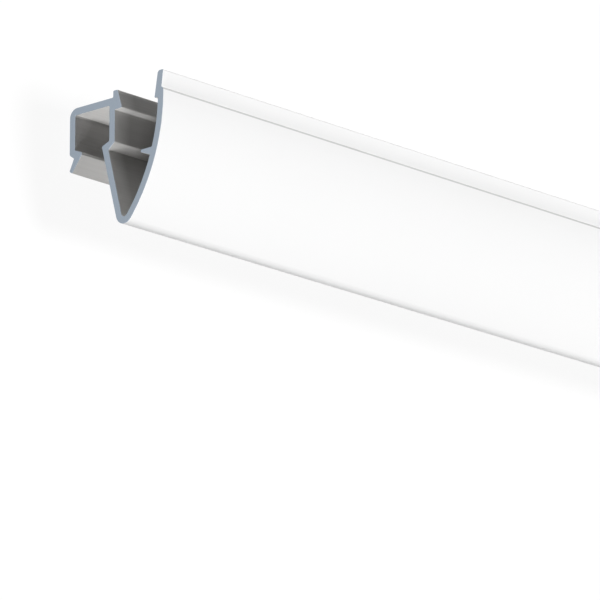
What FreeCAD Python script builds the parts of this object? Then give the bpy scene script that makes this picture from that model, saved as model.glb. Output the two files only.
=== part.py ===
import FreeCAD
import Part
import Sketcher
import math
import os
from collections import namedtuple
from FreeCAD import Vector

# Ceiling picture rail: one length of extruded aluminium section.
#
# The rail lies on its back. X runs along its length, away from the end that the
# section is read from. Y is the height when it is mounted, with the ceiling at +Y.
# Z is the depth from the wall plane at zero to the front that faces the room.
#
# In the section, heights are measured up from the lowest point of the nose and
# depths are measured from the wall plane. All lengths are in millimetres and all
# angles are in degrees.

# Driving sizes
SIZES = {
    # Overall
    "rail_length": 1000.0,
    "rail_height": 28.0,
    "rail_depth": 24.4,
    "wall": 1.4,
    # Hanger channel: its clear inside, its distance below the top of the rail
    "channel_width": 9.0,
    "channel_clear": 6.9,
    "channel_drop": 2.8,
    "channel_corner": 1.8,
    # Shelves each side of the channel mouth, which carry the hanger's head
    "shelf_slope": 20.5,
    "wall_shelf": 1.8,
    "room_shelf": 1.95,
    "shelf_edge": 0.5,
    # Drip blade that springs against the wall below the channel
    "foot_drop": 0.7,
    "notch_drop": 1.55,
    "notch_depth": 1.15,
    "blade_drop": 3.2,
    "blade_tip": 0.65,
    "blade_heel": 0.5,
    # Leg of the V, from the room shelf down to the nose
    "web_foot_drop": 0.4,
    "leg_head_drop": 1.75,
    "leg_lean": 15.14,
    "nose_bore": 0.8,
    # Curved front: the height at which it stands upright, and its inner lip
    "crown_height": 23.4,
    "lip_height": 13.45,
    "lip_reach": 2.85,
    "lip_edge": 0.5,
    "lip_root": 1.4,
    # Top band above the shadow groove
    "band_height": 3.32,
    "band_lean": 8.0,
    "groove_depth": 0.5,
    "groove_drop": 0.33,
    # Ceiling-clip socket: the level of both ledges, the ledge and the barb
    "socket_drop": 5.2,
    "ledge_reach": 0.9,
    "barb_set_in": 0.93,
    "barb_rise": 1.33,
    "barb_top": 1.13,
    "barb_reach": 1.86,
    # Edge radii
    "band_back_radius": 0.6,
    "brow_radius": 0.6,
    "foot_radius": 0.5,
    "shelf_radius": 0.35,
    "corner_fillet": 0.3,
    "edge_radius": 0.2,
}

# Places that follow from the driving sizes
PLACES = {
    "half_height": "Sizes.rail_height / 2",
    "channel_top": "Sizes.rail_height - Sizes.channel_drop",
    "channel_roof": "channel_top - Sizes.wall",
    "shelf_root": "channel_roof - Sizes.channel_clear",
    "wall_tip": "shelf_root - Sizes.wall_shelf * tan(Sizes.shelf_slope)",
    "room_tip": "shelf_root - Sizes.room_shelf * tan(Sizes.shelf_slope)",
    "blade_root": "wall_tip - Sizes.shelf_edge",
    "blade_end": "blade_root - Sizes.blade_drop",
    "socket_level": "Sizes.rail_height - Sizes.socket_drop",
    "groove_level": "Sizes.rail_height - Sizes.band_height",
    "brow_level": "groove_level - Sizes.groove_drop",
    "lip_under": "Sizes.lip_height - Sizes.lip_root",
    "web_wall_face": "Sizes.wall + Sizes.channel_width",
    "web_room_face": "web_wall_face + Sizes.wall",
    "mouth_room_side": "web_wall_face - Sizes.room_shelf",
    "barb_crest": "channel_top + Sizes.barb_rise",
    "barb_wall_face": "web_wall_face + Sizes.barb_set_in",
    "leg_head": "shelf_root - Sizes.leg_head_drop",
    "leg_slope": "tan(Sizes.leg_lean)",
    "leg_thickness": "Sizes.wall / cos(Sizes.leg_lean)",
    # The nose rounds the foot of the V and touches height zero
    "nose_radius": "Sizes.nose_bore + Sizes.wall",
    "nose_run": "(room_tip - nose_radius) * leg_slope + nose_radius / cos(Sizes.leg_lean)",
    "nose_depth": "mouth_room_side + nose_run",
    # The front is the one arc that stands upright at the crown and meets the nose in a tangent
    "front_run": "Sizes.rail_depth - nose_depth",
    "front_rise": "Sizes.crown_height - nose_radius",
    "front_chord": "front_run ^ 2 + front_rise ^ 2 - nose_radius ^ 2",
    "front_radius": "front_chord / (2 * (front_run - nose_radius))",
    "front_inside": "front_radius - Sizes.wall",
    "front_centre": "Sizes.rail_depth - front_radius",
    "tangent_span": "front_radius - nose_radius",
    "tangent_depth": "(nose_depth - front_centre) / tangent_span",
    "tangent_height": "front_rise / tangent_span",
    # Depth of the front's inner face at the lip and at the ledge
    "lip_top_face": "front_centre + sqrt(front_inside ^ 2 - (Sizes.crown_height - Sizes.lip_height) ^ 2)",
    "lip_under_face": "front_centre + sqrt(front_inside ^ 2 - (Sizes.crown_height - lip_under) ^ 2)",
    "ledge_face": "front_centre + sqrt(front_inside ^ 2 - (Sizes.crown_height - socket_level) ^ 2)",
    "brow_face": "front_centre + sqrt(front_radius ^ 2 - (Sizes.crown_height - brow_level) ^ 2)",
    "band_foot": "brow_face - Sizes.groove_depth",
    "band_front": "band_foot + Sizes.band_height * tan(Sizes.band_lean)",
}

# An arc of the outline: its radius and the height and depth of its centre
Arc = namedtuple("Arc", "radius height depth")
NOSE = Arc("nose_radius", "nose_radius", "nose_depth")
NOSE_INSIDE = Arc("Sizes.nose_bore", "nose_radius", "nose_depth")
FRONT = Arc("front_radius", "Sizes.crown_height", "front_centre")
FRONT_INSIDE = Arc("front_inside", "Sizes.crown_height", "front_centre")

# Two points closer than this are the same one
TOUCH = 0.0001

# A corner of the outline: its name, the formulas of its height and depth, and the arc
# that leaves it, or None where the next stretch is straight
Corner = namedtuple("Corner", "name height depth arc", defaults=(None,))


def on_leg(name, radius, arc=None):
    """Corner where the leg of the V runs into a nose arc of the given radius."""
    height = f"nose_radius - {radius} * sin(Sizes.leg_lean)"
    depth = f"nose_depth - {radius} * cos(Sizes.leg_lean)"
    return Corner(name, height, depth, arc)


def on_front(name, radius, arc=None):
    """Corner where the curved front runs into a nose arc of the given radius."""
    height = f"nose_radius - {radius} * tangent_height"
    depth = f"nose_depth + {radius} * tangent_depth"
    return Corner(name, height, depth, arc)


# The outline goes once round the metal: up the wall side, over the channel and the
# barb, down inside the V, up inside the front, over the band, down the outside of the
# front, round the nose, up the leg and round the inside of the channel
OUTLINE = [
    Corner("foot", "shelf_root - Sizes.foot_drop", "0"),
    Corner("channel_back", "channel_top", "0"),
    Corner("barb_foot", "channel_top", "barb_wall_face"),
    Corner("barb_crest", "barb_crest", "barb_wall_face"),
    Corner("barb_brow", "barb_crest", "barb_wall_face + Sizes.barb_top"),
    Corner("barb_tip", "socket_level", "web_room_face + Sizes.barb_reach"),
    Corner("barb_root", "socket_level", "web_room_face"),
    Corner("web_foot", "shelf_root - Sizes.web_foot_drop", "web_room_face"),
    Corner("leg_head", "leg_head", "mouth_room_side + (room_tip - leg_head) * leg_slope + leg_thickness"),
    on_leg("leg_inside", "Sizes.nose_bore", NOSE_INSIDE),
    on_front("front_inside", "Sizes.nose_bore", FRONT_INSIDE),
    Corner("lip_root", "lip_under", "lip_under_face"),
    Corner("lip_chin", "Sizes.lip_height - Sizes.lip_edge", "lip_top_face - Sizes.lip_reach"),
    Corner("lip_tip", "Sizes.lip_height", "lip_top_face - Sizes.lip_reach"),
    Corner("lip_top", "Sizes.lip_height", "lip_top_face", FRONT_INSIDE),
    Corner("ledge_root", "socket_level", "ledge_face"),
    Corner("ledge_tip", "socket_level", "ledge_face - Sizes.ledge_reach"),
    Corner("band_back", "Sizes.rail_height", "band_front - Sizes.wall"),
    Corner("band_front", "Sizes.rail_height", "band_front"),
    Corner("groove_root", "groove_level", "band_foot"),
    Corner("groove_brow", "brow_level", "brow_face", FRONT),
    on_front("front_outside", "nose_radius", NOSE),
    on_leg("leg_outside", "nose_radius"),
    Corner("room_tip", "room_tip", "mouth_room_side"),
    Corner("room_root", "shelf_root", "web_wall_face"),
    Corner("roof_room", "channel_roof", "web_wall_face"),
    Corner("roof_wall", "channel_roof", "Sizes.wall"),
    Corner("wall_root", "shelf_root", "Sizes.wall"),
    Corner("wall_tip", "wall_tip", "Sizes.wall + Sizes.wall_shelf"),
    Corner("blade_root", "blade_root", "Sizes.wall + Sizes.wall_shelf"),
    Corner("blade_tip", "blade_end", "Sizes.blade_tip"),
    Corner("blade_heel", "blade_end + Sizes.blade_heel", "0"),
    Corner("notch", "shelf_root - Sizes.notch_drop", "Sizes.notch_depth"),
]

# Corners rounded along the whole rail, under the size that sets their radius
ROUNDS = {
    "channel_corner": ["channel_back"],
    "band_back_radius": ["band_back"],
    "brow_radius": ["groove_brow"],
    "foot_radius": ["foot"],
    "shelf_radius": ["room_tip"],
    "corner_fillet": [
        "roof_wall", "roof_room", "wall_root", "room_root", "web_foot", "leg_head",
        "lip_root", "lip_top", "ledge_root",
    ],
    "edge_radius": [
        "barb_foot", "barb_crest", "barb_brow", "barb_tip", "barb_root", "lip_chin", "lip_tip",
        "ledge_tip", "band_front", "groove_root", "wall_tip", "blade_root", "blade_tip",
        "blade_heel", "notch",
    ],
}


def add_sheet(doc, name, cells):
    """Spreadsheet with one named cell in each row."""
    sheet = doc.addObject("Spreadsheet::Sheet", name)
    for row, (alias, content) in enumerate(cells.items(), start=1):
        sheet.set(f"A{row}", alias)
        sheet.set(f"B{row}", content)
        sheet.setAlias(f"B{row}", alias)
    doc.recompute()
    return sheet


def origin_plane(body, role):
    """One of the body's own origin planes."""
    return next(plane for plane in body.Origin.OriginFeatures if plane.Role == role)


def corner_cells():
    """Formula cells for the height and depth of every corner."""
    cells = {}
    for corner in OUTLINE:
        cells[f"{corner.name}_height"] = f"={corner.height}"
        cells[f"{corner.name}_depth"] = f"={corner.depth}"
    return cells


def arc_cells():
    """Formula cells for the radius and centre of every arc."""
    cells = {}
    for corner in OUTLINE:
        if corner.arc:
            cells[f"{corner.name}_arc"] = f"={corner.arc.radius}"
            cells[f"{corner.name}_centre_height"] = f"={corner.arc.height}"
            cells[f"{corner.name}_centre_depth"] = f"={corner.arc.depth}"
    return cells


def place(sheet, name):
    """Point of the section plane that two cells of the sheet give."""
    return Vector(float(sheet.get(f"{name}_height")), float(sheet.get(f"{name}_depth")), 0)


def add_stretch(sketch, sheet, corner, following):
    """Line or arc from one corner to the next, with the end that lies on the first corner."""
    start = place(sheet, corner.name)
    end = place(sheet, following.name)
    if corner.arc is None:
        return sketch.addGeometry(Part.LineSegment(start, end), False), 1
    centre = place(sheet, f"{corner.name}_centre")
    circle = Part.Circle(centre, Vector(0, 0, 1), (start - centre).Length)
    angles = [math.atan2(point.y - centre.y, point.x - centre.x) for point in (start, end)]
    runs_forward = (start - centre).cross(end - centre).z > 0
    if not runs_forward:
        angles.reverse()
    return sketch.addGeometry(Part.ArcOfCircle(circle, *angles), False), 1 if runs_forward else 2


def bind(sketch, constraint, name, formula):
    """Named constraint of the sketch, bound to a cell."""
    index = sketch.addConstraint(constraint)
    sketch.renameConstraint(index, name)
    sketch.setExpression(f"Constraints.{name}", formula)


def add_section(body, places):
    """Closed outline of the extrusion, every corner and arc bound to its cells."""
    sketch = body.newObject("Sketcher::SketchObject", "RailSection")
    sketch.AttachmentSupport = [(origin_plane(body, "YZ_Plane"), "")]
    sketch.MapMode = "FlatFace"
    sketch.setExpression("AttachmentOffset.Base.x", "-Places.half_height")
    following = OUTLINE[1:] + OUTLINE[:1]
    stretches = [add_stretch(sketch, places, *pair) for pair in zip(OUTLINE, following)]
    for index, (corner, (edge, near_end)) in enumerate(zip(OUTLINE, stretches)):
        last_edge, last_near_end = stretches[index - 1]
        sketch.addConstraint(Sketcher.Constraint("Coincident", last_edge, 3 - last_near_end, edge, near_end))
        across = Sketcher.Constraint("DistanceX", -1, 1, edge, near_end, place(places, corner.name).x)
        bind(sketch, across, f"{corner.name}_height", f"Places.{corner.name}_height")
        deep = Sketcher.Constraint("DistanceY", -1, 1, edge, near_end, place(places, corner.name).y)
        bind(sketch, deep, f"{corner.name}_depth", f"Places.{corner.name}_depth")
        if corner.arc:
            radius = Sketcher.Constraint("Radius", edge, float(places.get(f"{corner.name}_arc")))
            bind(sketch, radius, f"{corner.name}_arc", f"Places.{corner.name}_arc")
    return sketch


def add_bar(body, sketch):
    """The section run out to the length of the rail, half each way."""
    bar = body.newObject("PartDesign::Pad", "RailBar")
    bar.Profile = (sketch, [""])
    bar.SideType = "Symmetric"
    bar.setExpression("Length", "Sizes.rail_length")
    return bar


def long_edge(shape, height, depth):
    """Name of the edge that runs along the rail at a height and a depth."""
    for index, edge in enumerate(shape.Edges, start=1):
        ends = [vertex.Point for vertex in edge.Vertexes]
        if all(math.hypot(end.y - height, end.z - depth) < TOUCH for end in ends):
            return f"Edge{index}"
    raise ValueError(f"no edge along the rail at height {height:.3f}, depth {depth:.3f}")


def add_rounds(doc, body, bar, places):
    """One fillet feature for each radius."""
    base = bar
    middle = float(places.get("half_height"))
    for radius, names in ROUNDS.items():
        points = [place(places, name) for name in names]
        edges = [long_edge(base.Shape, point.x - middle, point.y) for point in points]
        fillet = body.newObject("PartDesign::Fillet", f"Round_{radius}")
        fillet.Base = (base, edges)
        fillet.setExpression("Radius", f"Sizes.{radius}")
        doc.recompute()
        base = fillet
    return base


def check(doc, body):
    """Stop if any object failed or the rail isn't one sound solid."""
    for item in doc.Objects:
        if "Invalid" in item.State or "Error" in item.State:
            raise RuntimeError(f"{item.Name} failed: {item.State}")
    shape = body.Shape
    if shape.isNull() or not shape.isValid() or len(shape.Solids) != 1:
        raise RuntimeError("the rail isn't one valid solid")


def main():
    """Build the rail and write its solid."""
    doc = FreeCAD.newDocument("ceiling_picture_rail")
    add_sheet(doc, "Sizes", {name: str(value) for name, value in SIZES.items()})
    formulas = {name: f"={formula}" for name, formula in PLACES.items()}
    places = add_sheet(doc, "Places", {**formulas, **corner_cells(), **arc_cells()})
    body = doc.addObject("PartDesign::Body", "rail_extrusion")
    body.Label = "rail_extrusion"
    sketch = add_section(body, places)
    bar = add_bar(body, sketch)
    doc.recompute()
    add_rounds(doc, body, bar, places)
    doc.recompute()
    check(doc, body)
    os.makedirs("parts", exist_ok=True)
    body.Shape.exportStep(f"parts/{body.Label}.step")
    box = body.Shape.BoundBox
    centre = body.Shape.CenterOfGravity
    spans = [(box.XMin, box.XMax), (box.YMin, box.YMax), (box.ZMin, box.ZMax)]
    print("box " + ", ".join(f"{low:.3f} to {high:.3f}" for low, high in spans))
    print(f"volume {body.Shape.Volume:.1f}, centre of mass {centre.y:.3f}, {centre.z:.3f}")
    print(f"front radius {float(places.get('front_radius')):.3f}")


main()
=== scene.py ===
"""Looks of a ceiling picture rail, one length of coated aluminium extrusion.

The rail lies on its back. X runs along it, away from the end that the camera looks
into. Y is the height when it is mounted, with the ceiling at +Y, and Z is the depth
from the wall plane. Sizes are in millimetres and angles in degrees.
"""

import logging
import math
from abc import ABC, abstractmethod
from dataclasses import dataclass, field
from enum import Enum, IntEnum
from itertools import accumulate
from typing import Any, Optional

import bmesh
import bpy
from mathutils import Matrix, Quaternion, Vector
from mathutils.geometry import tessellate_polygon


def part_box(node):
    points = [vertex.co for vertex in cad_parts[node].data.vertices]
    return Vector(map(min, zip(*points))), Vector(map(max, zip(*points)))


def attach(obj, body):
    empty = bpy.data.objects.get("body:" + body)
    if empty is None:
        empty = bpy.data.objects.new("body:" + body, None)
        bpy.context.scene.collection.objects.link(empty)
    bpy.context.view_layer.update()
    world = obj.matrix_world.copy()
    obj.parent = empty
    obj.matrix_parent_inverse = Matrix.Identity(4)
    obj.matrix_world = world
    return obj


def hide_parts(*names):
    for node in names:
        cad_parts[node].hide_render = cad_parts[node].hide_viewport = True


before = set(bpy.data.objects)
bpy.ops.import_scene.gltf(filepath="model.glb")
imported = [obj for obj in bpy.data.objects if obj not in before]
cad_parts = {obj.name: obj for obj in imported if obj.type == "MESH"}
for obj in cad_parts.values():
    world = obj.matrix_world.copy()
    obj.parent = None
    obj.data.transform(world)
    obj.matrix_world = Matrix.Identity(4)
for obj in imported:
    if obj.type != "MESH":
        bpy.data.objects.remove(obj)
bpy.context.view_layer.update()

CAD_NODE = "rail_extrusion"
MM = 0.001
LOG = logging.getLogger("picture_rail")

# Input sockets of a Mix node that mixes colours, and its output
FACTOR, FIRST, SECOND = 0, 6, 7
MIXED = 2
# Radians that Blender's wave texture runs through in one unit, at a scale of one
WAVE_RATE = 20.0


def linear(hex_colour: str) -> tuple[float, float, float, float]:
    """Turn an sRGB hex colour into linear light.

    Args:
        hex_colour: Six hex digits, with or without a leading #.

    Returns:
        Red, green, blue and an alpha of one.
    """
    digits = hex_colour.lstrip("#")
    channels = [int(digits[place:place + 2], 16) / 255 for place in (0, 2, 4)]
    # Straight foot and power curve, with the sRGB standard's own numbers
    red, green, blue = (
        value / 12.92 if value <= 0.04045 else ((value + 0.055) / 1.055) ** 2.4
        for value in channels
    )
    return red, green, blue, 1.0


def add_node(
    tree: bpy.types.NodeTree,
    kind: str,
    settings: Optional[dict[str, Any]] = None,
    values: Optional[dict[Any, Any]] = None,
    links: Optional[dict[Any, bpy.types.NodeSocket]] = None,
) -> bpy.types.Node:
    """Add one shader node.

    Args:
        tree: Node tree that the node goes into.
        kind: Blender's name for the kind of node.
        settings: Properties of the node itself.
        values: Numbers and colours for its input sockets.
        links: Output sockets that feed its input sockets.

    Returns:
        The new node.
    """
    node = tree.nodes.new(kind)
    for name, value in (settings or {}).items():
        setattr(node, name, value)
    for socket, value in (values or {}).items():
        node.inputs[socket].default_value = value
    for socket, source in (links or {}).items():
        tree.links.new(source, node.inputs[socket])
    return node


def per_metre(spacing: float) -> float:
    """Pattern scale, in repeats to the metre, for a spacing in millimetres."""
    return 1 / (spacing * MM)


class Zone(IntEnum):
    """Finish of a stretch of the rail, numbered as its material slots are."""

    COATED = 0
    ETCHED = 1
    SAWN = 2


class Trace(Enum):
    """Value that the mesh carries at each of its points, for the finishes to read."""

    COAT_DISTANCE = "coat_distance"
    PAINTED_COAT_SHADE = "painted_coat_shade"
    DRAINED = "drained"


class Finish(ABC):
    """Finish of the rail's metal, drawn by the nodes of one material."""

    name: str

    @abstractmethod
    def even(self) -> dict[str, float]:
        """Values that are the same all over, by the shader's socket."""

    @abstractmethod
    def patterned(
        self, tree: bpy.types.NodeTree, place: bpy.types.NodeSocket,
    ) -> dict[str, bpy.types.NodeSocket]:
        """Add the nodes of what varies over the surface.

        Args:
            tree: Node tree that they go into.
            place: Socket that gives a point's place on the rail, in metres.

        Returns:
            Output sockets, by the shader's socket that each feeds.
        """

    def material(self) -> bpy.types.Material:
        """Build the material.

        Returns:
            The material, with one shader that shows the whole finish.
        """
        made = bpy.data.materials.new(self.name)
        made.use_nodes = True
        tree = made.node_tree
        shader = tree.nodes["Principled BSDF"]
        for socket, value in self.even().items():
            shader.inputs[socket].default_value = value
        place = add_node(tree, "ShaderNodeTexCoord").outputs["Object"]
        for socket, source in self.patterned(tree, place).items():
            tree.links.new(source, shader.inputs[socket])
        return made


@dataclass(frozen=True)
class PowderCoat(Finish):
    """Polyester powder coat, sprayed dry on the aluminium and stoved.

    It melts to a soft sheen with a faint orange peel, and hides the metal altogether.
    Painted shade greys the coat in the tight groove and on the band's arris.
    """

    name: str = "powder_coat_white"
    colour: str = "#EFEFEF"
    shade: str = "#ECECEC"
    # Painted shade: the grey for the groove and the band's arris
    painted_shade_colour: str = "#A8A8A7"
    roughness: tuple[float, float] = (0.52, 0.62)
    specular: float = 0.1
    # Orange peel
    peel_spacing: float = 1.3
    peel_height: float = 0.004
    peel_detail: float = 1.5
    # Broad clouds, where the spray passed once more or once less
    cloud_spacing: float = 45.0
    cloud_detail: float = 2.0

    def even(self) -> dict[str, float]:
        """Values that are the same all over, by the shader's socket."""
        return {"Specular IOR Level": self.specular}

    def patterned(
        self, tree: bpy.types.NodeTree, place: bpy.types.NodeSocket,
    ) -> dict[str, bpy.types.NodeSocket]:
        """Add the nodes of the peel, its sheen, the clouds and the painted shade.

        Args:
            tree: Node tree that they go into.
            place: Socket that gives a point's place on the rail, in metres.

        Returns:
            Output sockets, by the shader's socket that each feeds.
        """
        cloud = add_node(
            tree, "ShaderNodeTexNoise",
            values={"Scale": per_metre(self.cloud_spacing), "Detail": self.cloud_detail},
            links={"Vector": place},
        )
        tint = add_node(
            tree, "ShaderNodeMix", {"data_type": "RGBA"},
            values={FIRST: linear(self.colour), SECOND: linear(self.shade)},
            links={FACTOR: cloud.outputs["Fac"]},
        )
        # Painted shade, mixed into the coat where the mesh carries it
        painted_shade = add_node(
            tree, "ShaderNodeAttribute", {"attribute_name": Trace.PAINTED_COAT_SHADE.value},
        )
        coat_shaded = add_node(
            tree, "ShaderNodeMix", {"data_type": "RGBA"},
            values={SECOND: linear(self.painted_shade_colour)},
            links={FACTOR: painted_shade.outputs["Fac"], FIRST: tint.outputs[MIXED]},
        )
        peel = add_node(
            tree, "ShaderNodeTexNoise",
            values={"Scale": per_metre(self.peel_spacing), "Detail": self.peel_detail},
            links={"Vector": place},
        )
        sheen = add_node(
            tree, "ShaderNodeMapRange",
            values={"To Min": self.roughness[0], "To Max": self.roughness[1]},
            links={"Value": peel.outputs["Fac"]},
        )
        bump = add_node(
            tree, "ShaderNodeBump",
            values={"Distance": self.peel_height * MM},
            links={"Height": peel.outputs["Fac"]},
        )
        return {
            "Base Color": coat_shaded.outputs[MIXED],
            "Roughness": sheen.outputs["Result"],
            "Normal": bump.outputs["Normal"],
        }


@dataclass(frozen=True)
class EtchedAluminium(Finish):
    """Extruded aluminium, etched before coating and left bare.

    The etch leaves a matt warm grey. Its colour is painted pale as painted light on the faces
    that the lamps reach, dark as painted shade on the faces in shadow, and paler again as
    painted light just inside the cuts. The die's lines still run the length of the rail, and
    powder has drifted a little way round the edges of the coat.
    """

    name: str = "etched_aluminium"
    # Painted light: the pale colour and its die lines; painted shade: the darker pair
    colour: str = "#F2F1EF"
    line_shade: str = "#E1E0DE"
    shaded_colour: str = "#B9B8B7"
    shaded_line_shade: str = "#A4A3A2"
    veil_colour: str = "#E9E9E6"
    # The etch's fine pits scatter the light, so the skin is matt and mirrors nothing
    metallic: float = 0.0
    roughness: tuple[float, float] = (0.55, 0.68)
    specular: float = 0.3
    # Die lines are finer than this on the real rail, drawn as coarse as they need to show
    line_spacing: float = 0.4
    line_length: float = 160.0
    line_height: float = 0.006
    line_detail: float = 3.0
    line_breakup: float = 0.6
    # Powder drifted beside the coat, with how thick it lies at the coat and at its reach
    veil_reach: float = 2.2
    drift: tuple[float, float] = (0.75, -0.35)
    # Its grains are finer than this, drawn as coarse as they need to show
    grit: float = 0.25
    grit_detail: float = 2.0
    # Where the drift and its grains begin to cover the metal, and where they hide it
    veil_cover: tuple[float, float] = (0.45, 1.0)

    def even(self) -> dict[str, float]:
        """Values that are the same all over, by the shader's socket."""
        return {"Metallic": self.metallic, "Specular IOR Level": self.specular}

    def patterned(
        self, tree: bpy.types.NodeTree, place: bpy.types.NodeSocket,
    ) -> dict[str, bpy.types.NodeSocket]:
        """Add the nodes of the die lines, the painted light and shade, and the veil of powder.

        Args:
            tree: Node tree that they go into.
            place: Socket that gives a point's place on the rail, in metres.

        Returns:
            Output sockets, by the shader's socket that each feeds.
        """
        across = per_metre(self.line_spacing)
        stretched = add_node(
            tree, "ShaderNodeMapping",
            values={"Scale": (per_metre(self.line_length), across, across)},
            links={"Vector": place},
        )
        lines = add_node(
            tree, "ShaderNodeTexNoise",
            values={"Scale": 1.0, "Detail": self.line_detail, "Roughness": self.line_breakup},
            links={"Vector": stretched.outputs["Vector"]},
        )
        # Lit and shaded copies of the die-lined metal, mixed by the painted light the mesh
        # carries
        metal_lit = add_node(
            tree, "ShaderNodeMix", {"data_type": "RGBA"},
            values={FIRST: linear(self.line_shade), SECOND: linear(self.colour)},
            links={FACTOR: lines.outputs["Fac"]},
        )
        metal_shaded = add_node(
            tree, "ShaderNodeMix", {"data_type": "RGBA"},
            values={FIRST: linear(self.shaded_line_shade), SECOND: linear(self.shaded_colour)},
            links={FACTOR: lines.outputs["Fac"]},
        )
        drained = add_node(
            tree, "ShaderNodeAttribute", {"attribute_name": Trace.DRAINED.value},
        )
        metal = add_node(
            tree, "ShaderNodeMix", {"data_type": "RGBA"},
            links={
                FACTOR: drained.outputs["Fac"],
                FIRST: metal_shaded.outputs[MIXED],
                SECOND: metal_lit.outputs[MIXED],
            },
        )
        reach = add_node(
            tree, "ShaderNodeAttribute", {"attribute_name": Trace.COAT_DISTANCE.value},
        )
        grains = add_node(
            tree, "ShaderNodeTexNoise",
            values={"Scale": per_metre(self.grit), "Detail": self.grit_detail},
            links={"Vector": place},
        )
        drift = add_node(
            tree, "ShaderNodeMapRange",
            values={
                "From Max": self.veil_reach,
                "To Min": self.drift[0],
                "To Max": self.drift[1],
            },
            links={"Value": reach.outputs["Fac"]},
        )
        settled = add_node(
            tree, "ShaderNodeMath", {"operation": "ADD", "use_clamp": True},
            links={0: drift.outputs["Result"], 1: grains.outputs["Fac"]},
        )
        veil = add_node(
            tree, "ShaderNodeMapRange", {"interpolation_type": "SMOOTHSTEP"},
            values={"From Min": self.veil_cover[0], "From Max": self.veil_cover[1]},
            links={"Value": settled.outputs["Value"]},
        )
        tint = add_node(
            tree, "ShaderNodeMix", {"data_type": "RGBA"},
            values={SECOND: linear(self.veil_colour)},
            links={FACTOR: veil.outputs["Result"], FIRST: metal.outputs[MIXED]},
        )
        sheen = add_node(
            tree, "ShaderNodeMapRange",
            values={"To Min": self.roughness[0], "To Max": self.roughness[1]},
            links={"Value": lines.outputs["Fac"]},
        )
        bump = add_node(
            tree, "ShaderNodeBump",
            values={"Distance": self.line_height * MM},
            links={"Height": lines.outputs["Fac"]},
        )
        return {
            "Base Color": tint.outputs[MIXED],
            "Roughness": sheen.outputs["Result"],
            "Normal": bump.outputs["Normal"],
        }


@dataclass(frozen=True)
class SawnAluminium(Finish):
    """Aluminium cut square with a circular saw after it was coated.

    The cut is bare cool metal with the blade's shallow arcs across it.
    """

    name: str = "sawn_aluminium"
    colour: str = "#A0AAB5"
    mark_shade: str = "#99A4AF"
    metallic: float = 1.0
    roughness: float = 0.6
    # One tooth's bite is finer than this, drawn as coarse as it needs to show
    mark_spacing: float = 0.3
    mark_height: float = 0.002
    # How far the marks wander off true arcs, and how finely
    mark_wander: float = 6.0
    wander_detail: float = 3.0
    wander_scale: float = 0.6
    # Height and depth of the saw's axis in the rail's own frame
    saw_axis: tuple[float, float] = (-95.0, 110.0)

    def even(self) -> dict[str, float]:
        """Values that are the same all over, by the shader's socket."""
        return {"Metallic": self.metallic, "Roughness": self.roughness}

    def patterned(
        self, tree: bpy.types.NodeTree, place: bpy.types.NodeSocket,
    ) -> dict[str, bpy.types.NodeSocket]:
        """Add the nodes of the arcs struck about the saw's axis.

        Args:
            tree: Node tree that they go into.
            place: Socket that gives a point's place on the rail, in metres.

        Returns:
            Output sockets, by the shader's socket that each feeds.
        """
        height, depth = (-value * MM for value in self.saw_axis)
        about_saw = add_node(
            tree, "ShaderNodeMapping",
            values={"Location": (0.0, height, depth)},
            links={"Vector": place},
        )
        marks = add_node(
            tree, "ShaderNodeTexWave", {"wave_type": "RINGS", "rings_direction": "X"},
            values={
                "Scale": per_metre(self.mark_spacing) * math.tau / WAVE_RATE,
                "Distortion": self.mark_wander,
                "Detail": self.wander_detail,
                "Detail Scale": self.wander_scale,
            },
            links={"Vector": about_saw.outputs["Vector"]},
        )
        tint = add_node(
            tree, "ShaderNodeMix", {"data_type": "RGBA"},
            values={FIRST: linear(self.mark_shade), SECOND: linear(self.colour)},
            links={FACTOR: marks.outputs["Fac"]},
        )
        bump = add_node(
            tree, "ShaderNodeBump",
            values={"Distance": self.mark_height * MM},
            links={"Height": marks.outputs["Fac"]},
        )
        return {"Base Color": tint.outputs[MIXED], "Normal": bump.outputs["Normal"]}


def turn_between(first: Vector, second: Vector) -> float:
    """Signed angle in radians from one direction of the section plane to another."""
    return math.atan2(first.cross(second), first.dot(second))


def turned(direction: Vector, angle: float) -> Vector:
    """A direction of the section plane, turned by an angle in radians."""
    cosine, sine = math.cos(angle), math.sin(angle)
    return Matrix(((cosine, -sine), (sine, cosine))) @ direction


def outward(heading: Vector) -> Vector:
    """Direction out of the metal, which lies on the left of the outline's travel."""
    return Vector((heading.y, -heading.x))


@dataclass(frozen=True)
class Arc:
    """Circle in the section plane, whose points are height and depth."""

    radius: float
    centre: Vector

    def within(self, wall: float) -> "Arc":
        """Circle about the same centre, one wall further in."""
        return Arc(self.radius - wall, self.centre)

    def depth_at(self, height: float) -> float:
        """Depth of the circle's room side at a height."""
        return self.centre.y + math.sqrt(self.radius ** 2 - (self.centre.x - height) ** 2)


@dataclass(frozen=True)
class Stretch:
    """Straight stretch of the outline between two corners."""

    start: Vector
    end: Vector

    @property
    def turn(self) -> float:
        """Signed angle that the stretch turns through, in radians."""
        return 0.0

    @property
    def length(self) -> float:
        """Length of the stretch."""
        return (self.end - self.start).length

    def heading(self, along: float) -> Vector:
        """Unit direction of travel, the same at every distance along."""
        return (self.end - self.start).normalized()

    def point(self, along: float) -> Vector:
        """Point at a distance along the stretch."""
        return self.start + self.heading(along) * along


@dataclass(frozen=True)
class Bend(Stretch):
    """Stretch of the outline that follows an arc."""

    arc: Arc

    @property
    def turn(self) -> float:
        """Signed angle that the stretch turns through, in radians."""
        return turn_between(self.start - self.arc.centre, self.end - self.arc.centre)

    @property
    def length(self) -> float:
        """Length of the stretch."""
        return abs(self.turn) * self.arc.radius

    def heading(self, along: float) -> Vector:
        """Unit direction of travel at a distance along the stretch."""
        spoke = self.point(along) - self.arc.centre
        return turned(spoke, math.copysign(math.pi / 2, self.turn)).normalized()

    def point(self, along: float) -> Vector:
        """Point at a distance along the stretch."""
        angle = math.copysign(along / self.arc.radius, self.turn)
        return self.arc.centre + turned(self.start - self.arc.centre, angle)


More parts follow.
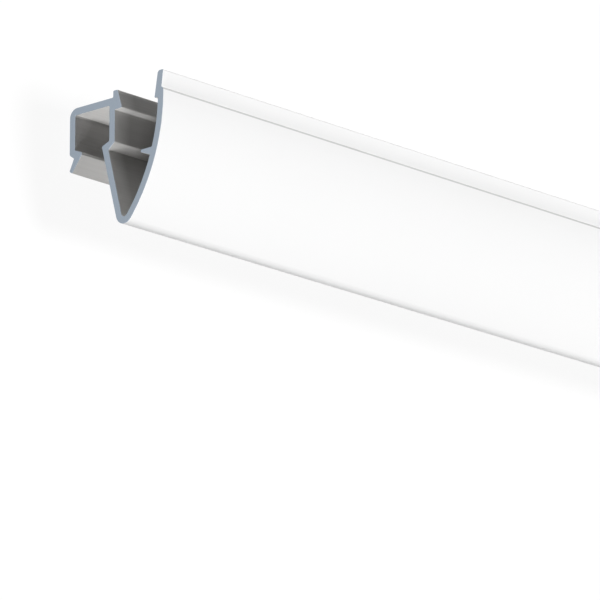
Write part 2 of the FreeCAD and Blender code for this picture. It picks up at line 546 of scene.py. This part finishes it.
class Tone(Enum):
    """How brightly a stretch of etched metal is painted, from 0 for painted shade to 1 for
    painted light.

    Each has its painted brightness along the rail, and how bright the painted light near a
    cut makes it, which is little in a sheltered corner.
    """

    # Painted light and painted shade of the bare metal's faces
    LIT = (1.0, 1.0)
    PALE = (0.6, 1.0)
    MIDDLING = (0.5, 1.0)
    DULL = (0.3, 1.0)
    DARK = (0.1, 1.0)
    SMUTTED = (0.0, 1.0)
    DEEP_SHADE = (0.0, 0.25)

    def __init__(self, drained: float, end_light: float) -> None:
        """Keep one tone's values."""
        self.drained, self.end_light = drained, end_light

    def with_end_light(self, share: float) -> float:
        """Painted brightness where the painted light near a cut has a share of its strength."""
        return max(self.drained, self.end_light * share)


@dataclass(frozen=True)
class Corner:
    """Corner of the outline, with the arc, zone and tone of the stretch that leaves it.

    Round a coated corner painted shade greys the coat, from 0 for none to 1 for grey.
    """

    name: str
    height: float
    depth: float
    rounding: float = 0.0
    arc: Optional[Arc] = None
    zone: Zone = Zone.ETCHED
    painted_shade: float = 0.0
    tone: Tone = Tone.MIDDLING

    @property
    def at(self) -> Vector:
        """Point of the section plane."""
        return Vector((self.height, self.depth))

    def stretch_to(self, following: "Corner") -> Stretch:
        """Stretch that leaves this corner for the following one."""
        ends = self.at, following.at
        return Bend(*ends, self.arc) if self.arc else Stretch(*ends)


@dataclass(frozen=True)
class SkinPoint:
    """Point of the outline, with the outward direction there and the finish after it."""

    at: Vector
    outward: Vector
    zone: Zone
    tone: Tone
    painted_shade: float = 0.0


@dataclass(frozen=True)
class Meeting:
    """Corner of the outline, with the last one and the two stretches that meet there."""

    last: Corner
    corner: Corner
    before: Stretch
    after: Stretch

    @property
    def turn(self) -> float:
        """Signed angle that the outline turns through at the corner, in radians."""
        return turn_between(self.before.heading(self.before.length), self.after.heading(0.0))

    @property
    def trim(self) -> float:
        """Length that the rounding takes off both stretches."""
        return self.corner.rounding * abs(math.tan(self.turn / 2))

    def rounded(self, widest: float) -> list[SkinPoint]:
        """Points round the corner.

        Args:
            widest: Most degrees that the outline may turn from one point to the next.

        Returns:
            Points of the round, without its last, where the next stretch begins.
        """
        if not self.corner.rounding:
            return []
        along = self.before.length - self.trim
        heading = self.before.heading(along)
        from_centre = -math.copysign(math.pi / 2, self.turn)
        spoke = turned(heading, from_centre) * self.corner.rounding
        centre = self.before.point(along) - spoke
        count = max(2, math.ceil(math.degrees(abs(self.turn)) / widest))
        points = []
        for step in range(count):
            part = self.turn * step / count
            place = centre + turned(spoke, part)
            facing = outward(turned(heading, part))
            tone = self.corner.tone if step else self.last.tone
            points.append(SkinPoint(place, facing, self.corner.zone, tone, self.corner.painted_shade))
        return points


@dataclass(frozen=True)
class RailSection:
    """Section of the extrusion, with heights from the nose and depths from the wall."""

    rail_height: float
    rail_depth: float
    wall: float = 1.4
    # Channel on the wall side: its clear inside, and its top below the rail's
    channel_width: float = 9.0
    channel_clear: float = 6.9
    channel_drop: float = 2.8
    channel_corner: float = 1.8
    # Shelves at the channel's mouth
    shelf_slope: float = 20.5
    wall_shelf: float = 1.8
    room_shelf: float = 1.95
    shelf_edge: float = 0.5
    # Drip blade, with its foot and notch below the shelves' root
    foot_drop: float = 0.7
    notch_drop: float = 1.55
    notch_depth: float = 1.15
    blade_drop: float = 3.2
    blade_tip: float = 0.65
    blade_heel: float = 0.5
    # Leg of the V, from below the shelves' root to the nose
    web_foot_drop: float = 0.4
    leg_head_drop: float = 1.75
    leg_lean: float = 15.14
    nose_bore: float = 0.8
    # Curved front, with the height at which it stands upright, and its inner lip
    crown_height: float = 23.4
    lip_height: float = 13.45
    lip_reach: float = 2.85
    lip_edge: float = 0.5
    lip_root: float = 1.4
    # Top band above the shadow groove
    band_height: float = 3.32
    band_lean: float = 8.0
    groove_depth: float = 0.5
    groove_drop: float = 0.33
    # Ceiling-clip socket, with the level of its undersides below the rail's top
    socket_drop: float = 5.2
    ledge_reach: float = 0.9
    barb_set_in: float = 0.93
    barb_rise: float = 1.33
    barb_top: float = 1.13
    barb_reach: float = 1.86
    # Edge radii
    band_back_radius: float = 0.6
    brow_radius: float = 0.6
    foot_radius: float = 0.5
    shelf_radius: float = 0.35
    corner_fillet: float = 0.3
    edge_radius: float = 0.2
    # How much painted shade greys the coat on the band's arris and at the groove, from 0 to 1
    arris_painted_shade: float = 0.2
    groove_painted_shade: float = 0.6
    # Widest steps of the mesh: degrees of a rounding and of an arc, length of the coat
    round_step: float = 15.0
    arc_step: float = 1.0
    coat_step: float = 0.4

    @property
    def channel_top(self) -> float:
        """Height of the channel's upper face."""
        return self.rail_height - self.channel_drop

    @property
    def channel_roof(self) -> float:
        """Height of the channel's inner roof."""
        return self.channel_top - self.wall

    @property
    def shelf_root(self) -> float:
        """Height at which both shelves meet the channel's walls."""
        return self.channel_roof - self.channel_clear

    @property
    def web_wall_face(self) -> float:
        """Depth of the web's face inside the channel."""
        return self.wall + self.channel_width

    @property
    def web_room_face(self) -> float:
        """Depth of the web's face on the room side."""
        return self.web_wall_face + self.wall

    @property
    def wall_tip(self) -> Vector:
        """Tip of the shelf on the wall side."""
        drop = self.wall_shelf * math.tan(math.radians(self.shelf_slope))
        return Vector((self.shelf_root - drop, self.wall + self.wall_shelf))

    @property
    def room_tip(self) -> Vector:
        """Tip of the shelf on the room side, where the leg of the V begins."""
        drop = self.room_shelf * math.tan(math.radians(self.shelf_slope))
        return Vector((self.shelf_root - drop, self.web_wall_face - self.room_shelf))

    @property
    def socket_level(self) -> float:
        """Height of the barb's and the ledge's undersides."""
        return self.rail_height - self.socket_drop

    @property
    def nose(self) -> Arc:
        """Round foot of the V, which touches height zero.

        Returns:
            The arc of its outside, tangent to the leaning leg.
        """
        radius = self.nose_bore + self.wall
        lean = math.radians(self.leg_lean)
        run = (self.room_tip.x - radius) * math.tan(lean) + radius / math.cos(lean)
        return Arc(radius, Vector((radius, self.room_tip.y + run)))

    @property
    def front(self) -> Arc:
        """Curved front, which stands upright at the crown.

        Returns:
            The arc of its outside, tangent to the nose.
        """
        nose = self.nose
        run = self.rail_depth - nose.centre.y
        rise = self.crown_height - nose.radius
        radius = (run ** 2 + rise ** 2 - nose.radius ** 2) / (2 * (run - nose.radius))
        return Arc(radius, Vector((self.crown_height, self.rail_depth - radius)))

    def on_leg(self, arc: Arc) -> Vector:
        """Point where the leg of the V runs into one of the nose's arcs."""
        lean = math.radians(self.leg_lean)
        return arc.centre - arc.radius * Vector((math.sin(lean), math.cos(lean)))

    def on_front(self, arc: Arc) -> Vector:
        """Point where the curved front runs into one of the nose's arcs."""
        return arc.centre + arc.radius * (arc.centre - self.front.centre).normalized()

    def back_and_barb(self) -> list[Corner]:
        """Corners up the wall side, over the channel and round the barb.

        Returns:
            The corners in order, from the foot to the barb's root.
        """
        edge = self.edge_radius
        top = self.channel_top
        crest = top + self.barb_rise
        level = self.socket_level
        back = self.web_wall_face + self.barb_set_in
        tip = self.web_room_face + self.barb_reach
        # The tones here paint light and shade on the bare faces
        return [
            Corner("foot", self.shelf_root - self.foot_drop, 0.0, self.foot_radius),
            Corner("channel_back", top, 0.0, self.channel_corner),
            Corner("barb_foot", top, back, edge),
            Corner("barb_crest", crest, back, edge),
            Corner("barb_brow", crest, back + self.barb_top, edge, tone=Tone.DARK),
            Corner("barb_tip", level, tip, edge, tone=Tone.DULL),
            Corner("barb_root", level, self.web_room_face, edge, tone=Tone.SMUTTED),
        ]

    def inside_of_vee(self) -> list[Corner]:
        """Corners down inside the V and up the inner face of the front.

        Returns:
            The corners in order, from the web's foot to the ledge's tip.
        """
        edge, fillet = self.edge_radius, self.corner_fillet
        bore = self.nose.within(self.wall)
        inner = self.front.within(self.wall)
        web_foot = self.shelf_root - self.web_foot_drop
        head = self.shelf_root - self.leg_head_drop
        lean = math.radians(self.leg_lean)
        leg_run = (self.room_tip.x - head) * math.tan(lean) + self.wall / math.cos(lean)
        lip_top, lip_under = self.lip_height, self.lip_height - self.lip_root
        lip_tip = inner.depth_at(lip_top) - self.lip_reach
        level = self.socket_level
        ledge = inner.depth_at(level)
        # The tones here paint light and shade on the bare faces
        return [
            Corner("web_foot", web_foot, self.web_room_face, fillet, tone=Tone.PALE),
            Corner("leg_head", head, self.room_tip.y + leg_run, fillet, tone=Tone.SMUTTED),
            Corner("leg_inside", *self.on_leg(bore), arc=bore),
            Corner("front_inside", *self.on_front(bore), arc=inner),
            Corner("lip_root", lip_under, inner.depth_at(lip_under), fillet),
            Corner("lip_chin", lip_top - self.lip_edge, lip_tip, edge),
            Corner("lip_tip", lip_top, lip_tip, edge),
            Corner("lip_top", lip_top, inner.depth_at(lip_top), fillet, inner),
            Corner("ledge_root", level, ledge, fillet),
            Corner("ledge_tip", level, ledge - self.ledge_reach, edge),
        ]

    def band_and_front(self) -> list[Corner]:
        """Corners of the face that the room sees, which is coated.

        Returns:
            The corners in order, from the band's top to the foot of the leg.
        """
        coat = Zone.COATED
        top, edge = self.rail_height, self.edge_radius
        nose, front = self.nose, self.front
        groove = top - self.band_height
        brow = groove - self.groove_drop
        brow_face = front.depth_at(brow)
        groove_face = brow_face - self.groove_depth
        band_face = groove_face + self.band_height * math.tan(math.radians(self.band_lean))
        band_back = band_face - self.wall
        # Painted shade on the band's arris and in the groove
        arris_shade, groove_shade = self.arris_painted_shade, self.groove_painted_shade
        return [
            Corner("band_back", top, band_back, self.band_back_radius, zone=coat),
            Corner("band_front", top, band_face, edge, zone=coat, painted_shade=arris_shade),
            Corner("groove_root", groove, groove_face, edge, zone=coat),
            Corner("groove_brow", brow, brow_face, self.brow_radius, front, coat, groove_shade),
            Corner("front_outside", *self.on_front(nose), arc=nose, zone=coat),
            Corner("leg_outside", *self.on_leg(nose), zone=coat),
        ]

    def channel_and_blade(self) -> list[Corner]:
        """Corners round the inside of the channel and down the drip blade.

        Returns:
            The corners in order, from the room shelf's tip to the notch.
        """
        edge, fillet = self.edge_radius, self.corner_fillet
        roof, root = self.channel_roof, self.shelf_root
        room_side, wall_side = self.web_wall_face, self.wall
        blade_root = self.wall_tip.x - self.shelf_edge
        blade_end = blade_root - self.blade_drop
        # The tones here paint light and shade on the bare faces
        return [
            Corner("room_tip", *self.room_tip, self.shelf_radius),
            Corner("room_root", root, room_side, fillet),
            Corner("roof_room", roof, room_side, fillet, tone=Tone.LIT),
            Corner("roof_wall", roof, wall_side, fillet, tone=Tone.DEEP_SHADE),
            Corner("wall_root", root, wall_side, fillet, tone=Tone.DEEP_SHADE),
            Corner("wall_tip", *self.wall_tip, edge),
            Corner("blade_root", blade_root, self.wall_tip.y, edge, tone=Tone.LIT),
            Corner("blade_tip", blade_end, self.blade_tip, edge),
            Corner("blade_heel", blade_end + self.blade_heel, 0.0, edge),
            Corner("notch", root - self.notch_drop, self.notch_depth, edge),
        ]

    def corners(self) -> list[Corner]:
        """Every corner once round the metal."""
        wall_side = self.back_and_barb() + self.inside_of_vee()
        return wall_side + self.band_and_front() + self.channel_and_blade()

    def run(self, here: Meeting, following: Meeting) -> list[SkinPoint]:
        """Points of the stretch between two corners, clear of their roundings.

        Args:
            here: Corner that the stretch leaves.
            following: Corner that it comes to.

        Returns:
            Points of the stretch, without its last, where the next rounding begins.

        Raises:
            ValueError: The stretch is too short for its corners' roundings.
        """
        corner, stretch = here.corner, here.after
        first, last = here.trim, stretch.length - following.trim
        if last < first:
            raise ValueError(f"{corner.name} and {following.corner.name} round too far")
        count = max(1, math.ceil(math.degrees(abs(stretch.turn)) / self.arc_step))
        if corner.zone is Zone.COATED:
            count = max(count, math.ceil((last - first) / self.coat_step))
        places = [first + (last - first) * step / count for step in range(count)]
        return [
            SkinPoint(
                stretch.point(along), outward(stretch.heading(along)), corner.zone, corner.tone,
            )
            for along in places
        ]

    def skin(self) -> list[SkinPoint]:
        """Walk the outline with its corners rounded.

        Returns:
            Points once round the metal, each with its outward direction.
        """
        corners = self.corners()
        stretches = [
            here.stretch_to(following)
            for here, following in zip(corners, corners[1:] + corners[:1])
        ]
        meetings = [
            Meeting(corners[index - 1], corner, stretches[index - 1], stretches[index])
            for index, corner in enumerate(corners)
        ]
        points = []
        for here, following in zip(meetings, meetings[1:] + meetings[:1]):
            points += here.rounded(self.round_step) + self.run(here, following)
        return points


@dataclass(frozen=True)
class RingPlace:
    """Place of a ring of the mesh along the rail, with how much painted light near a cut it has.
    """

    along: float
    inset: float
    end_lit: float


@dataclass(frozen=True)
class Facet:
    """Face of the mesh, with its finish and a normal for each of its corners."""

    corners: list[int]
    zone: Zone
    normals: list[Vector]


@dataclass(frozen=True)
class RailMesh:
    """Mesh of the rail: the section run between two sawn ends."""

    section: RailSection
    near_end: float
    far_end: float
    # The file takes this much off the saw's sharp arris
    arris: float = 0.05
    # Painted light near each cut reaches this far in, and fades on the way
    end_light_reach: float = 4.2

    def places(self) -> list[RingPlace]:
        """Choose where the rings go.

        Returns:
            Places of the rings, from the near end to the far one.
        """
        near = [
            RingPlace(self.near_end, self.arris, 1.0),
            RingPlace(self.near_end + self.arris, 0.0, 1.0),
            RingPlace(self.near_end + self.end_light_reach, 0.0, 0.0),
        ]
        ends = self.near_end + self.far_end
        far = [RingPlace(ends - one.along, one.inset, one.end_lit) for one in reversed(near)]
        return near + far

    def ring(self, skin: list[SkinPoint], place: RingPlace) -> list[Vector]:
        """Points of the skin at one place along the rail.

        Args:
            skin: Outline to repeat there.
            place: Where the ring goes, and how far it is drawn in under the skin.

        Returns:
            One point for each point of the skin, in the rail's own frame.
        """
        middle = self.section.rail_height / 2
        drawn = [point.at - point.outward * place.inset for point in skin]
        return [Vector((place.along, at.x - middle, at.y)) for at in drawn]

    def sides(self, skin: list[SkinPoint], places: list[RingPlace]) -> list[Facet]:
        """Faces between each ring and the next.

        Args:
            skin: Outline of the metal.
            places: Places of the rings.

        Returns:
            The faces of the skin, and of the broken arris at each end, which is sawn.
        """
        count = len(skin)
        facets = []
        for level, (here, there) in enumerate(zip(places, places[1:])):
            lean = (there.inset - here.inset) / self.arris
            facing = [
                Vector((lean, point.outward.x, point.outward.y)).normalized()
                for point in skin
            ]
            low, high = level * count, (level + 1) * count
            for index, point in enumerate(skin):
                after = (index + 1) % count
                corners = [low + index, low + after, high + after, high + index]
                normals = [facing[index], facing[after], facing[after], facing[index]]
                facets.append(Facet(corners, Zone.SAWN if lean else point.zone, normals))
        return facets

    @staticmethod
    def cut(ring: list[Vector], first: int, facing: Vector) -> list[Facet]:
        """Faces of one sawn end.

        Args:
            ring: Points of the end's own ring.
            first: Number of the ring's first point in the mesh.
            facing: Way that the end faces.

        Returns:
            Triangles that fill the ring, all turned to face that way.
        """
        flat = [Vector((point.y, point.z, 0.0)) for point in ring]
        facets = []
        for triangle in tessellate_polygon([flat]):
            one, two, three = (ring[index] for index in triangle)
            faces_away = (two - one).cross(three - one).dot(facing) <= 0
            ordered = triangle[::-1] if faces_away else triangle
            corners = [first + index for index in ordered]
            facets.append(Facet(corners, Zone.SAWN, [facing] * len(corners)))
        return facets

    @staticmethod
    def distances(skin: list[SkinPoint], marked: list[int]) -> list[float]:
        """Distance round the outline from each point to the nearest marked one.

        Args:
            skin: Outline of the metal.
            marked: Numbers of the marked points.

        Returns:
            One distance for each point of the skin.
        """
        steps = [(after.at - point.at).length for point, after in zip(skin, skin[1:] + skin[:1])]
        *reached, whole = [0.0, *accumulate(steps)]
        apart = [[abs(here - reached[mark]) for mark in marked] for here in reached]
        return [min(min(gap, whole - gap) for gap in gaps) for gaps in apart]

    def traces(self, skin: list[SkinPoint], places: list[RingPlace]) -> dict[Trace, list[float]]:
        """Values for the finishes to read.

        Args:
            skin: Outline of the metal.
            places: Places of the rings.

        Returns:
            One value for each point of the mesh, ring by ring, for each trace.
        """
        coated = [index for index, point in enumerate(skin) if point.zone is Zone.COATED]
        coat_end = coated[-1] + 1
        # Painted shade of the coat, and painted light and shade of the bare metal
        return {
            Trace.COAT_DISTANCE: self.distances(skin, [*coated, coat_end]) * len(places),
            Trace.PAINTED_COAT_SHADE: [point.painted_shade for point in skin] * len(places),
            Trace.DRAINED: [
                point.tone.with_end_light(place.end_lit) for place in places for point in skin
            ],
        }

    def build(self) -> bpy.types.Object:
        """Make the rail's object.

        Returns:
            The object, in metres, with exact normals and its faces numbered by zone.
        """
        skin, places = self.section.skin(), self.places()
        rings = [self.ring(skin, place) for place in places]
        last = len(skin) * (len(rings) - 1)
        facets = [
            *self.sides(skin, places),
            *self.cut(rings[0], 0, Vector((-1.0, 0.0, 0.0))),
            *self.cut(rings[-1], last, Vector((1.0, 0.0, 0.0))),
        ]
        mesh = bpy.data.meshes.new(CAD_NODE)
        points = [point * MM for ring in rings for point in ring]
        mesh.from_pydata(points, [], [facet.corners for facet in facets])
        mesh.polygons.foreach_set("material_index", [int(facet.zone) for facet in facets])
        mesh.polygons.foreach_set("use_smooth", [True] * len(facets))
        mesh.normals_split_custom_set([normal for facet in facets for normal in facet.normals])
        for trace, values in self.traces(skin, places).items():
            carried = mesh.attributes.new(trace.value, "FLOAT", "POINT")
            carried.data.foreach_set("value", values)
        mesh.update()
        made = bpy.data.objects.new("picture_rail", mesh)
        bpy.context.scene.collection.objects.link(made)
        return made


@dataclass
class PictureRail:
    """The rail itself: its mesh, its three finishes and its place in the frame."""

    coat: PowderCoat = field(default_factory=PowderCoat)
    bare: EtchedAluminium = field(default_factory=EtchedAluminium)
    cut: SawnAluminium = field(default_factory=SawnAluminium)

    def mesh(self) -> RailMesh:
        """Size the rail from the frame's own node.

        Returns:
            The mesh to build, as high, deep and long as the node.
        """
        low, high = (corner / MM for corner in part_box(CAD_NODE))
        section = RailSection(rail_height=high.y - low.y, rail_depth=high.z - low.z)
        return RailMesh(section, low.x, high.x)

    def dress(self, rail: bpy.types.Object) -> None:
        """Give the rail a material slot for each zone.

        Args:
            rail: The rail's object.
        """
        finishes = {Zone.COATED: self.coat, Zone.ETCHED: self.bare, Zone.SAWN: self.cut}
        for zone in Zone:
            rail.data.materials.append(finishes[zone].material())

    def build(self) -> list[bpy.types.Object]:
        """Build the rail in place of its node.

        Returns:
            The pieces made.
        """
        rail = self.mesh().build()
        self.dress(rail)
        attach(rail, "root")
        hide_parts(CAD_NODE)
        return [rail]


def seen_by_eye(tree: bpy.types.NodeTree) -> bpy.types.NodeSocket:
    """Add the test for a ray that the eye sees by, straight or by a reflection.

    Args:
        tree: Node tree of the floor or of the world.

    Returns:
        A socket that is one for camera, glossy and transmission rays.
    """
    path = add_node(tree, "ShaderNodeLightPath")
    mirrored = add_node(
        tree, "ShaderNodeMath", {"operation": "MAXIMUM"},
        links={0: path.outputs["Is Glossy Ray"], 1: path.outputs["Is Transmission Ray"]},
    )
    either = add_node(
        tree, "ShaderNodeMath", {"operation": "MAXIMUM"},
        links={0: path.outputs["Is Camera Ray"], 1: mirrored.outputs["Value"]},
    )
    return either.outputs["Value"]


@dataclass(frozen=True)
class StudioFloor:
    """Plain pale painted floor, wide enough to reach the horizon."""

    radius_metres: float = 60.0
    sides: int = 96
    clearance: float = 0.02
    colour: str = "#9A9A9A"
    # The eye sees this shade with a glow on it, which is white where no shadow falls
    seen_colour: str = "#585858"
    glow: float = 0.92

    def build(self) -> bpy.types.Object:
        """Lay the floor under the rail.

        Returns:
            The floor.
        """
        outline = bmesh.new()
        bmesh.ops.create_circle(
            outline, cap_ends=True, radius=self.radius_metres, segments=self.sides,
        )
        mesh = bpy.data.meshes.new("studio_floor")
        outline.to_mesh(mesh)
        outline.free()
        floor = bpy.data.objects.new("studio_floor", mesh)
        floor.location.z = -self.clearance * MM
        bpy.context.scene.collection.objects.link(floor)
        mesh.materials.append(self.material())
        return floor

    def material(self) -> bpy.types.Material:
        """Build the floor's paint.

        Returns:
            The material, which the eye sees as white with the rail's soft shadow on it.
        """
        made = bpy.data.materials.new("floor_paint")
        made.use_nodes = True
        tree = made.node_tree
        tree.nodes.clear()
        paint = add_node(tree, "ShaderNodeBsdfDiffuse", values={"Color": linear(self.colour)})
        shadow = add_node(
            tree, "ShaderNodeBsdfDiffuse", values={"Color": linear(self.seen_colour)},
        )
        glow = add_node(tree, "ShaderNodeEmission", values={"Strength": self.glow})
        seen = add_node(
            tree, "ShaderNodeAddShader",
            links={0: shadow.outputs["BSDF"], 1: glow.outputs["Emission"]},
        )
        mixed = add_node(
            tree, "ShaderNodeMixShader",
            links={0: seen_by_eye(tree), 1: paint.outputs["BSDF"], 2: seen.outputs["Shader"]},
        )
        add_node(tree, "ShaderNodeOutputMaterial", links={"Surface": mixed.outputs["Shader"]})
        return made


class Lamp(Enum):
    """The studio's lamps, each with its direction from the rail, its level and its spread."""

    OVERHEAD = ((0.50, 0.02, 0.86), 1.02, 20.0)
    LOW_SIDE = ((-0.46, -0.88, 0.11), 0.60, 20.0)
    CEILING_SIDE = ((-0.30, 0.95, 0.16), 0.17, 18.0)

    def __init__(self, towards: tuple[float, float, float], level: float, spread: float) -> None:
        """Keep one lamp's values.

        Args:
            towards: Direction from the rail to the lamp, of any length.
            level: Light on a face square to the lamp, where one shows a colour as written.
            spread: Angle that the lamp fills as seen from the rail, in degrees.
        """
        self.direction = Vector(towards).normalized()
        self.level = level
        self.spread = spread


@dataclass(frozen=True)
class Studio:
    """Plain soft studio light on a white background."""

    ambient: float = 0.08

    def hang(self, lamp: Lamp) -> bpy.types.Object:
        """Hang one soft lamp.

        Args:
            lamp: Which lamp.

        Returns:
            The lamp's object.
        """
        light = bpy.data.lights.new(lamp.name.lower(), "SUN")
        light.energy = lamp.level * math.pi
        light.angle = math.radians(lamp.spread)
        hung = bpy.data.objects.new(light.name, light)
        hung.rotation_mode = "QUATERNION"
        hung.rotation_quaternion = (-lamp.direction).to_track_quat("-Z", "Y")
        hung.location = lamp.direction
        bpy.context.scene.collection.objects.link(hung)
        return hung

    def surround(self) -> bpy.types.World:
        """Set the world.

        Returns:
            The world, white to the eye and dimmer as a source of light.
        """
        world = bpy.data.worlds.new("studio")
        world.use_nodes = True
        tree = world.node_tree
        tree.nodes.clear()
        level = add_node(
            tree, "ShaderNodeMapRange",
            values={"To Min": self.ambient, "To Max": 1.0},
            links={"Value": seen_by_eye(tree)},
        )
        sky = add_node(
            tree, "ShaderNodeBackground",
            values={"Color": linear("#FFFFFF")},
            links={"Strength": level.outputs["Result"]},
        )
        add_node(tree, "ShaderNodeOutputWorld", links={"Surface": sky.outputs["Background"]})
        bpy.context.scene.world = world
        return world

    def build(self) -> None:
        """Light the studio."""
        self.surround()
        for lamp in Lamp:
            self.hang(lamp)
            LOG.info("lamp %s at level %.2f", lamp.name.lower(), lamp.level)


@dataclass(frozen=True)
class ViewCamera:
    """Camera at the reference view, its lens fitted to a square 600 by 600 frame."""

    place: tuple[float, float, float] = (-1411.8, -395.6, 909.5)
    heading: float = -68.561
    down: float = 40.957
    roll: float = 75.656
    lens: float = 430.3
    sensor: float = 36.0
    clip_metres: tuple[float, float] = (0.05, 200.0)

    def build(self) -> bpy.types.Object:
        """Set up the camera.

        Returns:
            The camera's object, which is the scene's own camera.
        """
        data = bpy.data.cameras.new("view_camera")
        data.lens = self.lens
        data.sensor_width = self.sensor
        data.clip_start, data.clip_end = self.clip_metres
        camera = bpy.data.objects.new("view_camera", data)
        heading, down = math.radians(self.heading), math.radians(self.down)
        reach = math.cos(down)
        ahead = Vector((-math.sin(heading) * reach, math.cos(heading) * reach, -math.sin(down)))
        level = ahead.to_track_quat("-Z", "Y")
        camera.rotation_mode = "QUATERNION"
        camera.rotation_quaternion = Quaternion(-ahead, math.radians(self.roll)) @ level
        camera.location = Vector(self.place) * MM
        bpy.context.scene.collection.objects.link(camera)
        bpy.context.scene.camera = camera
        return camera


def main() -> None:
    """Build the rail, its stage and its camera."""
    logging.basicConfig(level=logging.INFO, format="%(name)s: %(message)s")
    bpy.context.scene.view_settings.view_transform = "Standard"
    ViewCamera().build()
    for piece in PictureRail().build():
        LOG.info("%s: %d faces", piece.name, len(piece.data.polygons))
    StudioFloor().build()
    Studio().build()


if __name__ == "__main__":
    main()
